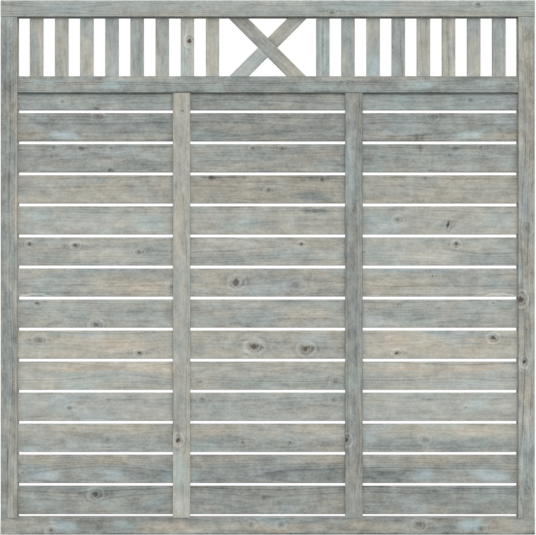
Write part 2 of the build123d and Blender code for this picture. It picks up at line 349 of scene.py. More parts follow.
def grown_softwood():
    """Node group for softwood as it grew: year rings round a heart, bent round knots, under a thin glaze."""
    silver_glaze = paint(161, 164, 158)
    thin_glaze = paint(190, 177, 157)
    thick_glaze = paint(148, 165, 165)
    milky_glaze = paint(152, 165, 169)
    knot_heart = paint(82, 69, 62)
    knife_marks = 660
    knot_ring = 4.6
    least_ringed, fully_ringed = 3 * mm, 7 * mm
    tree = bpy.data.node_groups.new("grown_softwood", "ShaderNodeTree")
    for name in ("Ring Width", "Lines", "Mottle"):
        tree.interface.new_socket(name, in_out="INPUT", socket_type="NodeSocketFloat")
    tree.interface.new_socket("Colour", in_out="OUTPUT", socket_type="NodeSocketColor")
    for name in ("Roughness", "Height"):
        tree.interface.new_socket(name, in_out="OUTPUT", socket_type="NodeSocketFloat")
    wire = Wiring(tree)
    given = wire.node("NodeGroupInput").outputs
    along, across, through = wire.parts(wire.attribute("grain").outputs["Vector"])
    knot = wire.attribute("knot")
    knot_along, knot_across, darkness = wire.parts(knot.outputs["Vector"])
    knot_bend = knot.outputs["Alpha"]

    # Grain runs round a knot as water runs round a stone, and wanders a little elsewhere
    place = wire.joined(along, across, through)
    lean = wire.noise(place, 38, 60, 2)
    knot_along = wire.total(knot_along, (lean, 1.1))
    knot_across = wire.total(knot_across, (wire.noise(place, 60, 47, 2), 1.0))
    far = wire.total(wire.reach(knot_along, 2.0, knot_across), (0.6, 1))
    bend = wire.calc("DIVIDE", wire.product(knot_across, knot_bend), far)
    wander = wire.noise(place, 2.6, 7, 2)
    line = wire.total(across, (bend, -1.3), (wander, 0.012))
    depth = wire.total(through, (wire.noise(place, 1.6, 2, 1), 0.055))
    place = wire.joined(along, line, depth)

    # Clouds of the glaze, its laps, and the fine marks of fibres, pores, flecks and the plane's knives
    band = wire.noise(place, 2.4, 17, 2)
    blotch = wire.noise(place, 20, 34, 3, 0.6)
    hue = wire.noise(place, 6, 21, 3, 0.55)
    lap = wire.between(wire.noise(place, 5, 13, 1), 0.13, 0.17)
    fibre = wire.noise(place, 9, 175, 4, 0.6)
    pores = wire.noise(place, 60, 900, 2)
    flecks = wire.noise(place, 90, 130, 3, 0.7)
    ripple = wire.calc("SINE", wire.total(0, (along, knife_marks), (lean, 2)))
    ripple = wire.product(ripple, wire.between(wire.noise(place, 3, 20, 1), 0.1, 0.25))

    # Year rings: pale early wood that darkens to a late line, stronger in some years than in others
    spread = wire.calc("SQRT", wire.reach(line, 1, depth))
    ring = wire.total(wire.calc("DIVIDE", spread, given["Ring Width"]), (fibre, 0.9))
    year = wire.calc("FRACT", ring)
    season = wire.node("ShaderNodeTexWhiteNoise", {1: wire.calc("FLOOR", ring)},
                       noise_dimensions="1D").outputs[0]
    strength = wire.total(0.15, (season, season))
    steep = wire.total(0.3, (wire.calc("DIVIDE", wire.calc("ABSOLUTE", line), spread), 0.7))
    late = wire.product(wire.between(year, 0.25, 0.85), wire.between(year, 1.0, 0.9), strength, steep)

    # Knot: a ragged dark core with bark on one side, a pale crescent on the other, dense dark grain
    # at its ends, and rings round it if it is not a slit; darkness over one makes only the rings stronger
    rag = wire.noise(place, 140, 190, 2)
    even_oval = wire.calc("SQRT", wire.reach(knot_along, 1.25, knot_across))
    oval = wire.total(even_oval, (rag, 1.6))
    upper = wire.between(wire.total(knot_across, (knot_along, -0.5)), -1.2, 0.6)
    lower = wire.total(1, (upper, -1))
    heart = wire.calc("MINIMUM", darkness, 1)
    core = wire.product(wire.between(oval, 0.95, 0.5), heart)
    bark = wire.product(wire.between(oval, 1.2, 1.6), wire.between(oval, 2.0, 1.6), heart, lower)
    grown_round = wire.between(knot_bend, least_ringed, fully_ringed)
    collar = wire.product(wire.between(oval, 0.9, 1.3), wire.between(oval, 3.4, 1.8), heart)
    collar = wire.product(collar, wire.total(0.5, (upper, 0.5)), grown_round)
    tail = wire.product(wire.between(wire.reach(knot_along, 5.5, knot_across), 1.6, 0.2), heart)
    swing = wire.calc("COSINE", wire.total(0, (even_oval, knot_ring), (rag, 3)))
    rings = wire.product(wire.between(oval, 0.9, 1.4), wire.between(oval, 4.8, 1.8), swing,
                         wire.total(0.2, (darkness, 0.8)), grown_round)

    # Glaze: warm where it is thin, blue where it is thick, paler or darker with the grain; painted shade on
    # rounded edges
    glaze = wire.attribute("glaze")
    warm, cool, light = wire.parts(glaze.outputs["Vector"])
    end = glaze.outputs["Alpha"]
    # How rounded a point's edge is; below, it darkens the colour as painted shade on the rounded edges
    arris = wire.attribute("arris").outputs["Fac"]
    blue = wire.blend(wire.between(wire.noise(place, 3.1, 9, 1), -0.06, 0.06), thick_glaze, milky_glaze)
    colour = wire.blend(wire.total(warm, (hue, 0.9)), silver_glaze, thin_glaze)
    colour = wire.blend(wire.total(cool, (hue, -0.9), (lap, 0.25)), colour, blue)
    clouds = wire.total(0, (band, 0.5), (blotch, 0.85), (lap, 0.1))
    lines = wire.total(0.032, (fibre, 0.45), (pores, 0.3), (flecks, 0.68), (ripple, 0.04), (late, -0.36))
    # The arris term is painted shade on the rounded edges
    value = wire.total(light, (clouds, given["Mottle"]), (lines, given["Lines"]), (collar, 0.26),
                       (tail, -0.22), (bark, -0.35), (rings, -0.13), (end, -0.22), (arris, -0.2))
    bright = wire.total(1, (value, 1))
    colour = wire.node("ShaderNodeVectorMath", {0: colour, 3: bright}, operation="SCALE").outputs[0]
    colour = wire.blend(core, colour, knot_heart)

    rough = wire.total(0.68, (fibre, 0.3))
    height = wire.total(fibre, (pores, 0.5), (late, -0.3))
    wire.node("NodeGroupOutput", {0: colour, 1: rough, 2: height})
    return tree


def new_material(name):
    """A material, the short forms for its node tree, and its shader."""
    material = bpy.data.materials.new(name)
    material.use_nodes = True
    return material, Wiring(material.node_tree), material.node_tree.nodes["Principled BSDF"]


def glazed(name, ring_width, lines, mottle):
    """Glazed softwood of one kind of stock."""
    material, wire, shader = new_material(name)
    wood = wire.node("ShaderNodeGroup", {"Ring Width": ring_width, "Lines": lines, "Mottle": mottle},
                     node_tree=softwood).outputs
    relief = wire.node("ShaderNodeBump", {"Height": wood["Height"], "Strength": 0.35, "Distance": 0.4 * mm})
    wire.feed(shader, {"Base Color": wood["Colour"], "Roughness": wood["Roughness"],
                       "Normal": relief.outputs["Normal"], "Specular IOR Level": 0.15})
    return material


def both_sides(marks):
    """Marks of the left bay, and the same mirrored in the right one."""
    return [*marks, *[(-mark[0], *mark[1:]) for mark in marks]]


softwood = grown_softwood()
frame_glaze = glazed("frame_glaze", ring_width=5.8 * mm, lines=1.0, mottle=1.2)
lying = ((1, 0, 0), (0, 0, 1), (0, -1, 0))
joint_x = 878 * mm
fine_seat = np.arange(-seat_reach, seat_reach + seat_step / 2, seat_step)
seat_places = [side * joint_x + fine_seat for side in (-1, 1)]

low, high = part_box("bottom_rail")
half_length, depth, height = high.x, high.y - low.y, high.z - low.z
bottom_rail_top = high.z
outline = section(rectangle(height, depth), frame_arris, {3: fine_seat})
timber(
    "bottom_rail", lying, (low + high) / 2,
    [bar(*outline, stations(-half_length, half_length, seat_places))], frame_glaze, (0.05, 0.05, -0.11),
    knots=[(-730, -14, 8, 0.5), (-57, 4, 7, 0.3), (44, 4, 7, 0.3), (509, 6, 10, 0.45), (718, -8, 8, 0.5)],
    marks=both_sides([(-815, 0, 80, 25, 0.3, 0, 0.05), (-688, 2, 40, 22, 0, 0.85, 0.29),
                      (-599, 0, 48, 25, 0, 0.25, -0.18), (-355, -5, 95, 18, 0.4, 0, 0.05)])
    + [(-481, 2, 34, 22, 0, 0.6, 0.16), (0, 18, 270, 8, 0, 0.35, -0.12), (0, -8, 270, 14, 0.35, 0, 0.04),
       # The darker bands along the top and bottom edges are painted shade: under the boards, and on the
       # lower edge that faces the ground
       (0, 27, 950, 4, 0, 0.1, -0.14), (0, -29, 950, 4, 0, 0, -0.35)],
    cuts=[screw_seats([-joint_x, joint_x], -1)])


# Stiles: the two uprights of the frame, grooved on the inside for the ends of the boards.
# Planed from the same stock as the rails, they stand between them on stub tenons;
# a screw through each from the side holds the mid rail. The left one has a drying check.
groove_width = 16.4 * mm
groove_depth = 12 * mm
groove_round = 0.4 * mm
tongue = 10 * mm
tenon_root = 2 * mm
tenon_thickness = 16 * mm
bottom_tenon_width = 24 * mm
check_from_edge = 23 * mm
check_half_width = 0.6 * mm
check_depth = 4 * mm
check_level = -694 * mm
check_half_length = 147 * mm
standing = ((0, 0, 1), (-1, 0, 0), (0, -1, 0))
top_rail_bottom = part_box("top_rail")[0].z
mid_rail_low, mid_rail_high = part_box("mid_rail")
mid_rail_middle = (mid_rail_low.z + mid_rail_high.z) / 2


def drying_check(points):
    """Opens a V along the grain: its middle line is deeper by the depth times one less its share squared."""
    on_line = np.abs(points[:, 1] - points[:, 1].max() + check_from_edge) < hair
    on_front = points[:, 2] > points[:, 2].max() - hair
    share = (points[:, 0] - check_level) / check_half_length
    points[:, 2] -= on_line * on_front * check_depth * np.clip(1 - share ** 2, 0, None)


stile_looks = {
    "left_stile": dict(
        tone=(0, 0.1, -0.14),
        marks=[(700, 12, 160, 12, 0, 0.3, -0.06), (-300, 8, 200, 14, 0, 0.25, -0.06),
               (0, 20, 850, 10, 0, 0.1, -0.09), (0, -12, 850, 13, 0.12, 0, 0.06),
               # The lighter warm strip along the inner edge is the wood's warm tone and a painted highlight
               # where the light from the right falls
               (0, -27, 850, 5, 0.3, 0, 0.24), (735, 11, 26, 5, 0, 0.2, -0.16),
               (614, 12, 16, 5, 0, 0.2, -0.16), (-615, 12, 22, 5, 0, 0.2, -0.16),
               (-694, 5, 150, 2.5, 0, 0, -0.15)]),
    "right_stile": dict(
        tone=(0.15, 0, -0.06),
        knots=[(-319, 8, 8, 0.95), (-107, 18, 11, 0.9), (130, -2, 10, 0.3), (-755, 0, 10, 0.3)],
        marks=[(250, 8, 130, 12, 0, 0.45, 0.05), (-481, -2, 70, 10, 0.45, 0, 0.1),
               (-680, 0, 120, 20, 0, 0.25, -0.08), (650, -8, 150, 10, 0.25, 0, -0.08),
               (-200, 4, 90, 2.5, 0, 0, -0.24), (-190, -12, 110, 2.5, 0.1, 0, -0.22),
               (-470, 8, 120, 2.5, 0, 0, -0.22), (-480, -14, 130, 2.5, 0.1, 0, -0.22),
               (120, -4, 150, 2.5, 0, 0, -0.2), (480, 6, 140, 2.5, 0, 0, -0.2),
               (-640, 12, 60, 3, 0, 0, 0.16), (-230, 18, 100, 4, 0, 0.2, 0.12)]),
}
for node, side in (("left_stile", 1), ("right_stile", -1)):
    low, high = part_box(node)
    width, depth = high.x - low.x, high.y - low.y
    middle = ((low.x + high.x) / 2, 0, (bottom_rail_top + top_rail_bottom) / 2)
    reach = (top_rail_bottom - bottom_rail_top) / 2
    inner, outer = -side * width / 2, side * width / 2
    front, lip, floor = side * depth / 2, side * groove_width / 2, inner + side * groove_depth
    corners = [(outer, -front), (outer, front), (inner, front), (inner, lip),
               (floor, lip), (floor, -lip), (inner, -lip), (inner, -front)]
    radii = [frame_arris] * 3 + [groove_round] * 4 + [frame_arris]
    flat = width / 2 - frame_arris
    check_lines = check_from_edge - width / 2 + check_half_width * np.array((-1, 0, 1))
    plain_lines = np.linspace(-flat, flat, round(2 * flat / flat_step) + 1)[1:-1]
    plain_lines = plain_lines[np.abs(plain_lines - check_lines[1]) > 2 * check_half_width]
    front_lines = np.sort(np.concatenate([plain_lines, check_lines]))
    outline = section(corners, radii, {0: fine_seat, 1: front_lines})
    seat_level = mid_rail_middle - middle[2]
    solid_middle = (side * groove_depth / 2, 0)
    head = section(rectangle(width - groove_depth, tenon_thickness) + solid_middle, groove_round)
    foot = section(rectangle(bottom_tenon_width, tenon_thickness) + solid_middle, groove_round)
    cuts = [screw_seats([seat_level], side)]
    if node == "left_stile":
        cuts.append(drying_check)
    timber(
        node, standing, middle,
        [bar(*outline, stations(-reach, reach, [seat_level + fine_seat])),
         bar(*head, np.array((reach - tenon_root, reach, reach + tongue))),
         bar(*foot, np.array((-reach - tongue, -reach, -reach + tenon_root)))],
        frame_glaze, cuts=cuts, **stile_looks[node])


# Boards: thirteen full ones and one ripped lengthwise to fit under the mid rail, planed softwood.
# Their ends lie loose in the stiles' grooves with an even gap between them,
# and each is stapled from behind to the two battens.
board_arris = 2.2 * mm
rear_lines = 13
rear_share = 0.42
staple_x = 290.667 * mm
slot_half = 0.85 * mm
slot_wall = 0.1 * mm
crown_half = 6.1 * mm
crown_sink = 2 * mm
board_glaze = glazed("board_glaze", ring_width=6.4 * mm, lines=1.0, mottle=1.05)


def staple_slots(level):
    """Sinks the seat of a staple's crown into the rear of a board: a box with nearly upright walls."""
    def sink(points):
        beside = np.abs(np.abs(points[:, 0]) - staple_x) < slot_half + slot_wall / 2
        inside = beside & (np.abs(points[:, 1] - level) < crown_half + slot_wall / 2)
        on_rear = points[:, 2] < points[:, 2].min() + hair
        points[:, 2] += crown_sink * (inside & on_rear)
    return sink


board_looks = {
    "board_01": dict(
        tone=(0, 0.1, -0.16),
        knots=[(-582, 20, 11, 0.8), (-13, 10, 6, 0.4), (567, 30, 6, 0.4)],
        marks=both_sides([(-430, -20, 120, 25, 0, 0.15, -0.06), (-760, 10, 70, 30, 0, 0.25, 0.08),
                          (-600, 35, 230, 9, 0, 0.1, -0.08)])),
    "board_02": dict(
        tone=(0, 0.12, -0.07),
        knots=[(-828, -12, 5, 0.4)],
        marks=both_sides([(-560, 30, 270, 16, 0.3, 0, 0), (-760, -20, 60, 20, 0, 0.7, 0.33),
                          (-525, -20, 30, 20, 0, 0.75, 0.17), (-400, -22, 85, 20, 0, 0.5, -0.3),
                          (-150, 30, 110, 14, 0.32, 0, 0.06)])
        + [(0, 0, 300, 60, 0, 0, -0.13), (0, -15, 250, 18, 0, 0.3, -0.06)]),
    "board_03": dict(
        tone=(0.05, 0.05, 0.035),
        knots=[(-538, -5, 9, 0.3), (-84, -15, 5, 0.7), (75, -15, 5, 0.7), (530, -5, 9, 0.3)],
        marks=both_sides([(-560, 28, 270, 18, 0.22, 0, 0.06), (-560, -22, 270, 22, 0, 0.28, -0.1)])
        + [(0, 26, 300, 18, 0.3, 0, 0), (0, -22, 300, 20, 0, 0.2, -0.16)]),
    "board_04": dict(
        tone=(0, 0.05, 0.14),
        knots=both_sides([(-670, -3, 6, 0.5), (-542, 25, 4, 0.4), (-222, 25, 7, 0.4)]),
        marks=both_sides([(-705, 12, 36, 26, 0, 0.4, 0.12)])
        + [(0, 0, 300, 60, 0.05, 0, -0.04), (0, 15, 300, 28, 0, 0.2, -0.08)]),
    "board_05": dict(
        tone=(0.1, 0, 0.17),
        knots=both_sides([(-229, -20, 9, 0.35)]),
        marks=both_sides([(-560, 30, 270, 15, 0.3, 0, 0), (-650, -25, 140, 18, 0.05, 0.2, 0.06),
                          (-560, 22, 240, 3.5, 0.4, 0, -0.14)])
        + [(0, 0, 300, 60, 0.05, 0, -0.12), (0, -22, 260, 20, 0, 0.3, -0.06)]),
    "board_06": dict(
        tone=(0.25, 0, 0.14),
        knots=both_sides([(-435, -28, 7, 0.8)])
        + [(-771, 16, 10, 0.4), (-46, -6, 13, 0.8), (129, -13, 12, 0.8), (762, 23, 9, 0.85)],
        marks=both_sides([(-640, 38, 130, 9, 0, 0.5, -0.06), (-560, -5, 200, 30, 0.25, 0, -0.02)])
        + [(0, 0, 300, 60, 0, 0.1, -0.15)]),
    "board_07": dict(
        tone=(0.05, 0.05, 0.01),
        knots=[(-778, 36, 6, 0.7), (-579, -38, 10, 0.6), (442, 33, 5, 0.7), (762, 36, 6, 0.4)],
        marks=both_sides([(-480, -10, 90, 20, 0, 0.2, -0.08), (-700, 0, 80, 25, 0, 0.2, 0.05)])
        + [(742, 0, 95, 2.5, 0, 0, -0.18), (0, 0, 300, 60, 0.05, 0, 0.03),
           (88, 38, 42, 7, 0, 0.3, -0.18), (-40, -12, 90, 22, 0, 0.25, 0), (130, 0, 70, 16, 0.15, 0, 0.05)]),
    "board_08": dict(
        tone=(0.1, 0, 0.05),
        knots=both_sides([(-785, -56, 22, 1.8, 0.4)])
        + [(-106, 0, 12, 0.7), (92, -8, 14, 0.3), (-323, -15, 7, 0.4), (557, 22, 3, 0.8)],
        marks=both_sides([(-490, 40, 160, 9, 0, 0.5, -0.1), (-450, -15, 130, 25, 0.28, 0, 0.06),
                          (-720, 0, 90, 40, 0, 0.25, 0), (-540, -11, 195, 2.5, 0, 0, -0.22),
                          (-210, 8, 70, 32, 0.25, 0, 0.02)])
        + [(0, 0, 300, 60, 0, 0, -0.11), (0, -10, 110, 24, 0, 0.35, 0.03), (60, 42, 60, 8, 0, 0.2, -0.14)]),
    "board_09": dict(
        tone=(0.05, 0, 0.055),
        knots=[(-805, 25, 6, 0.8), (-650, 21, 7, 0.8), (-434, -2, 7, 0.6), (115, 25, 6, 0.8),
               (637, 25, 7, 0.8), (324, -2, 5, 0.6)],
        marks=both_sides([(-555, -18, 110, 22, 0.12, 0, 0.07), (-755, -22, 80, 18, 0, 0.3, -0.08),
                          (-378, -14, 54, 24, 0, 0.3, -0.09), (-640, 24, 180, 16, 0.05, 0, 0.02)])
        + [(0, 0, 300, 60, 0, 0, -0.045), (-580, 0, 270, 60, 0, 0, -0.03), (580, 0, 270, 60, 0, 0, 0.03),
           (0, 26, 270, 18, 0.18, 0, 0.03), (0, -18, 270, 20, 0, 0.2, -0.05),
           (0, -38, 60, 10, 0.2, 0, 0.08)]),
    "board_10": dict(
        tone=(0.16, 0, 0.125),
        knots=[(159, 31, 6, 0.4), (610, -15, 5.5, 1, 2.6), (439, 2, 8, 0.4)],
        marks=both_sides([(-390, -9, 58, 30, 0, 0.55, 0.07), (-780, 0, 60, 40, 0, 0.3, 0)])
        + [(0, 0, 300, 60, 0, 0, -0.11), (590, 0, 260, 60, 0, 0, -0.05), (160, 33, 42, 9, 0, 0.3, -0.27),
           (0, -4, 120, 18, 0, 0.35, 0), (62, -14, 20, 18, 0.25, 0, 0.1),
           (-90, -10, 26, 14, 0.25, 0, 0.08)]),
    "board_11": dict(
        tone=(0.25, 0, -0.025),
        knots=[(-191, 40, 6, 0.6), (186, 34, 6, 0.6), (4, -3, 7, 0.5), (530, 37, 5, 0.5)],
        marks=[(-560, 30, 18, 10, 0, 0.3, -0.1), (560, 30, 18, 10, 0, 0.3, -0.1),
               (-170, 42, 75, 9, 0, 0.3, -0.14), (170, 42, 75, 9, 0, 0.3, -0.14),
               (0, 0, 300, 60, 0.08, 0, -0.13), (0, 27, 250, 2.5, 0, 0, -0.2),
               (150, -27, 50, 14, 0, 0.5, -0.24)]),
    "board_12": dict(
        tone=(0, 0.08, -0.105),
        knots=both_sides([(-722, 36, 6, 0.45), (-630, 33, 6, 0.5), (-612, 10, 5, 0.4), (-731, 6, 5, 0.35),
                          (-50, 33, 6, 0.6)])
        + [(-528, 33, 6, 0.5), (-532, -40, 6, 0.6), (515, 35, 2.6, 0.6, 5)],
        marks=both_sides([(-650, 10, 60, 12, 0, 0.3, 0.07), (-560, 40, 250, 6, 0, 0.1, -0.14)])
        + [(0, 0, 300, 60, 0.1, 0, 0.06)]),
    "board_13": dict(
        tone=(0, 0.12, -0.14),
        knots=[(-572, 36, 8, 0.4), (557, 36, 8, 0.4), (504, -34, 2.6, 0.5, 5), (521, -36, 2.6, 0.4, 4)],
        marks=both_sides([(-685, -26, 44, 13, 0, 0.8, 0.46), (-805, -26, 55, 15, 0.45, 0, 0.08),
                          (-370, -33, 90, 9, 0.35, 0, 0.1), (-560, 12, 270, 20, 0, 0.12, -0.07)])
        + [(0, 0, 300, 60, 0.05, 0, -0.07), (685, -26, 44, 13, 0.15, -0.3, 0.09)]),
    "ripped_board": dict(
        tone=(0, 0.36, -0.01),
        knots=[(-693, -5, 6, 0.35), (-579, -28, 5, 0.6), (685, 0, 6, 0.35)],
        marks=[(0, 0, 300, 60, 0.1, -0.15, -0.08), (590, 0, 270, 60, 0, 0.05, 0.03)]),
}
slot_places = np.array((-slot_half - slot_wall, -slot_half, slot_half, slot_half + slot_wall))
crown_places = np.array((-crown_half - slot_wall, -crown_half, crown_half, crown_half + slot_wall))
staple_levels = []
for node, looks in board_looks.items():
    low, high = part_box(node)
    width, thickness = high.z - low.z, high.y - low.y
    middle = (low + high) / 2
    staple_levels.append((low.z + min(high.z, mid_rail_low.z)) / 2)
    level = staple_levels[-1] - middle.z
    rear_flat = np.linspace(-rear_share, rear_share, rear_lines) * width
    rear_flat = rear_flat[np.abs(rear_flat - level) > crown_half + 2 * slot_wall]
    rear_flat = np.sort(np.concatenate([rear_flat, level + crown_places]))
    outline = section(rectangle(width, thickness), board_arris, {0: rear_flat})
    fine = [side * staple_x + slot_places for side in (-1, 1)]
    timber(node, lying, middle, [bar(*outline, stations(-high.x, high.x, fine))], board_glaze,
           cuts=[staple_slots(level)], **looks)


# Battens: two thin upright strips that cover the front of the boards and part them into three bays.
# Ripped and planed softwood, held by the staples shot through the boards from behind.
batten_arris = 1.8 * mm
batten_glaze = glazed("batten_glaze", ring_width=5.5 * mm, lines=0.85, mottle=1.05)
batten_looks = {
    "batten_1": dict(
        tone=(0.22, 0, 0.08),
        knots=[(-454, 12, 9, 0.9), (655, -3, 7, 0.45)],
        marks=[(-560, 0, 80, 24, -0.1, 0.22, 0.11), (-680, 0, 30, 30, -0.1, 0.1, 0.22),
               (300, 5, 150, 18, 0.15, 0, 0.05)]),
    "batten_2": dict(
        tone=(0, 0.13, -0.19),
        knots=[(-454, 24, 9, 0.9), (320, 0, 6, 0.4)],
        marks=[(500, 5, 120, 15, 0, 0.1, 0.06), (0, -18, 500, 8, 0.2, 0, 0.06)]),
}


def upright_slat(node, arris, glaze, looks):
    """A plain upright timber that fills its solid's box, with eased long edges."""
    low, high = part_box(node)
    outline = section(rectangle(high.x - low.x, high.y - low.y), arris)
    reach = (high.z - low.z) / 2
    timber(node, standing, (low + high) / 2, [bar(*outline, stations(-reach, reach))], glaze, **looks)


for node, looks in batten_looks.items():
    upright_slat(node, batten_arris, batten_glaze, looks)


# Staples: one for each board and batten, shot from behind through the board into the batten.
# Flattened steel wire bent to a square bow with chisel points, zinc plated and gone dull.
crown_width = 12 * mm
wire_half = 0.75 * mm
wire_bend = 1.2 * mm
bend_steps = 5
wire_sides = 12
point_length = 2.5 * mm
point_half = 0.15 * mm
sharp_edge = np.radians(40)


def dull_zinc():
    """Zinc plate with the cloudy bloom that it takes outdoors."""
    material, wire, shader = new_material("dull_zinc")
    at = wire.node("ShaderNodeTexCoord").outputs["Object"]
    bloom = wire.noise(at, 300, 300, 4, 0.6)
    dull, bright = paint(150, 152, 152), paint(198, 199, 198)
    wire.feed(shader, {"Base Color": wire.blend(wire.total(0.5, (bloom, 1)), dull, bright),
                       "Roughness": wire.total(0.45, (bloom, 0.4)), "Metallic": 0.9})
    return material


def fasteners(name, node, points, faces, caps):
    """A group of like fasteners as one piece in place of their solids: the same grid at each place."""
    shift = (np.arange(len(points)) * points.shape[1])[:, None, None]
    kinds = [(kind + shift).reshape(-1, kind.shape[1]).tolist() for kind in (faces, *caps)]
    mesh = bpy.data.meshes.new(name)
    mesh.from_pydata(points.reshape(-1, 3), [], [corners for kind in kinds for corners in kind])
    mesh.polygons.foreach_set("use_smooth", np.ones(len(mesh.polygons), bool))
    mesh.set_sharp_from_angle(angle=sharp_edge)
    mesh.materials.append(zinc)
    piece = put_in_scene(name, mesh)
    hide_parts(node)
    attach(piece, "root")


def staple_wire(length):
    """Wire of one staple: a square with round corners carried up a leg, along the crown and down again.

    The path is a leg, a quarter circle, half the crown, and the same mirrored. The section's radius is
    the wire's half width over the fourth root of the sum of cosine and sine, each to the fourth power.
    It is thinned at the tips. Gives rings of points as (along the crown, aside, into the wood).
    """
    bow = np.linspace(0, np.pi / 2, bend_steps)
    leg = crown_width / 2 - wire_half
    leg_tip = np.array(((-leg, length), (-leg, length - point_length)))
    bend = wire_bend * (1 - np.stack([np.cos(bow), np.sin(bow)], axis=1)) + (-leg, wire_half)
    half_path = np.concatenate([leg_tip, bend])
    path = np.concatenate([half_path, half_path[::-1] * (-1, 1)])
    heading = np.gradient(path, axis=0)
    heading = heading / np.linalg.norm(heading, axis=1)[:, None]
    outward = np.stack([-heading[:, 1], heading[:, 0]], axis=1)
    angle = np.arange(wire_sides) * 2 * np.pi / wire_sides
    radius = wire_half / (np.cos(angle) ** 4 + np.sin(angle) ** 4) ** 0.25
    thin = np.ones(len(path))
    thin[[0, -1]] = point_half / wire_half
    flat = path[:, None] + (thin[:, None] * radius * np.cos(angle))[..., None] * outward[:, None]
    aside = np.broadcast_to(radius * np.sin(angle), (len(path), wire_sides))
    return np.stack([flat[..., 0], aside, flat[..., 1]], axis=2)


zinc = dull_zinc()
low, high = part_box("batten_staples")
staple = staple_wire(high.y - low.y)
rings, sides = staple.shape[:2]
along_crown, aside, inward = staple.reshape(-1, 3).T
spots = np.array([(side * staple_x, level) for level in staple_levels for side in (-1, 1)])
points = np.stack([spots[:, :1] + aside, np.broadcast_to(high.y - inward, (len(spots), len(inward))),
                   spots[:, 1:] + along_crown], axis=2)
tips = [np.arange(sides)[None, ::-1], np.arange(sides)[None] + (rings - 1) * sides]
fasteners("zinc_staples", "batten_staples", points, ring_faces(rings, sides), tips)


# Mid rail: the crossbar between the boards and the lattice, grooved above and below.
# Planed softwood, held between the stiles by a stub tenon and one screw at each end.
low, high = mid_rail_low, mid_rail_high
inner_half = high.x - tongue
height, depth = high.z - low.z, high.y - low.y
lip, top, floor = groove_width / 2, height / 2, height / 2 - groove_depth
corners = [(-top, -depth / 2), (top, -depth / 2), (top, -lip), (floor, -lip), (floor, lip), (top, lip),
           (top, depth / 2), (-top, depth / 2), (-top, lip), (-floor, lip), (-floor, -lip), (-top, -lip)]
radii = ([frame_arris] * 2 + [groove_round] * 4) * 2
core = section(rectangle(height - 2 * groove_depth, tenon_thickness), groove_round)
timber(
    "mid_rail", lying, (low + high) / 2,
    [bar(*section(corners, radii), stations(-inner_half, inner_half)),
     bar(*core, np.array((-inner_half - tongue, -inner_half, -inner_half + tenon_root))),
     bar(*core, np.array((inner_half - tenon_root, inner_half, inner_half + tongue)))],
    frame_glaze, (0, 0.2, -0.15),
    knots=[(267, 5, 6, 0.4)],
    marks=[(-759, 4, 45, 9, 0, 0.5, 0.14), (-632, 5, 65, 16, 0.2, 0, 0.03),
           (-528, -4, 28, 15, 0.05, 0.4, 0.28), (-430, 22, 100, 7, 0.3, 0, 0.05),
           (0, -5, 120, 18, 0, 0.2, -0.14), (175, -10, 35, 10, 0.1, 0.2, 0.12),
           (330, 22, 160, 7, 0.3, 0, 0.05), (505, -3, 44, 14, 0.05, 0.5, 0.37),
           (758, 6, 60, 8, 0, 0.3, 0.12)])


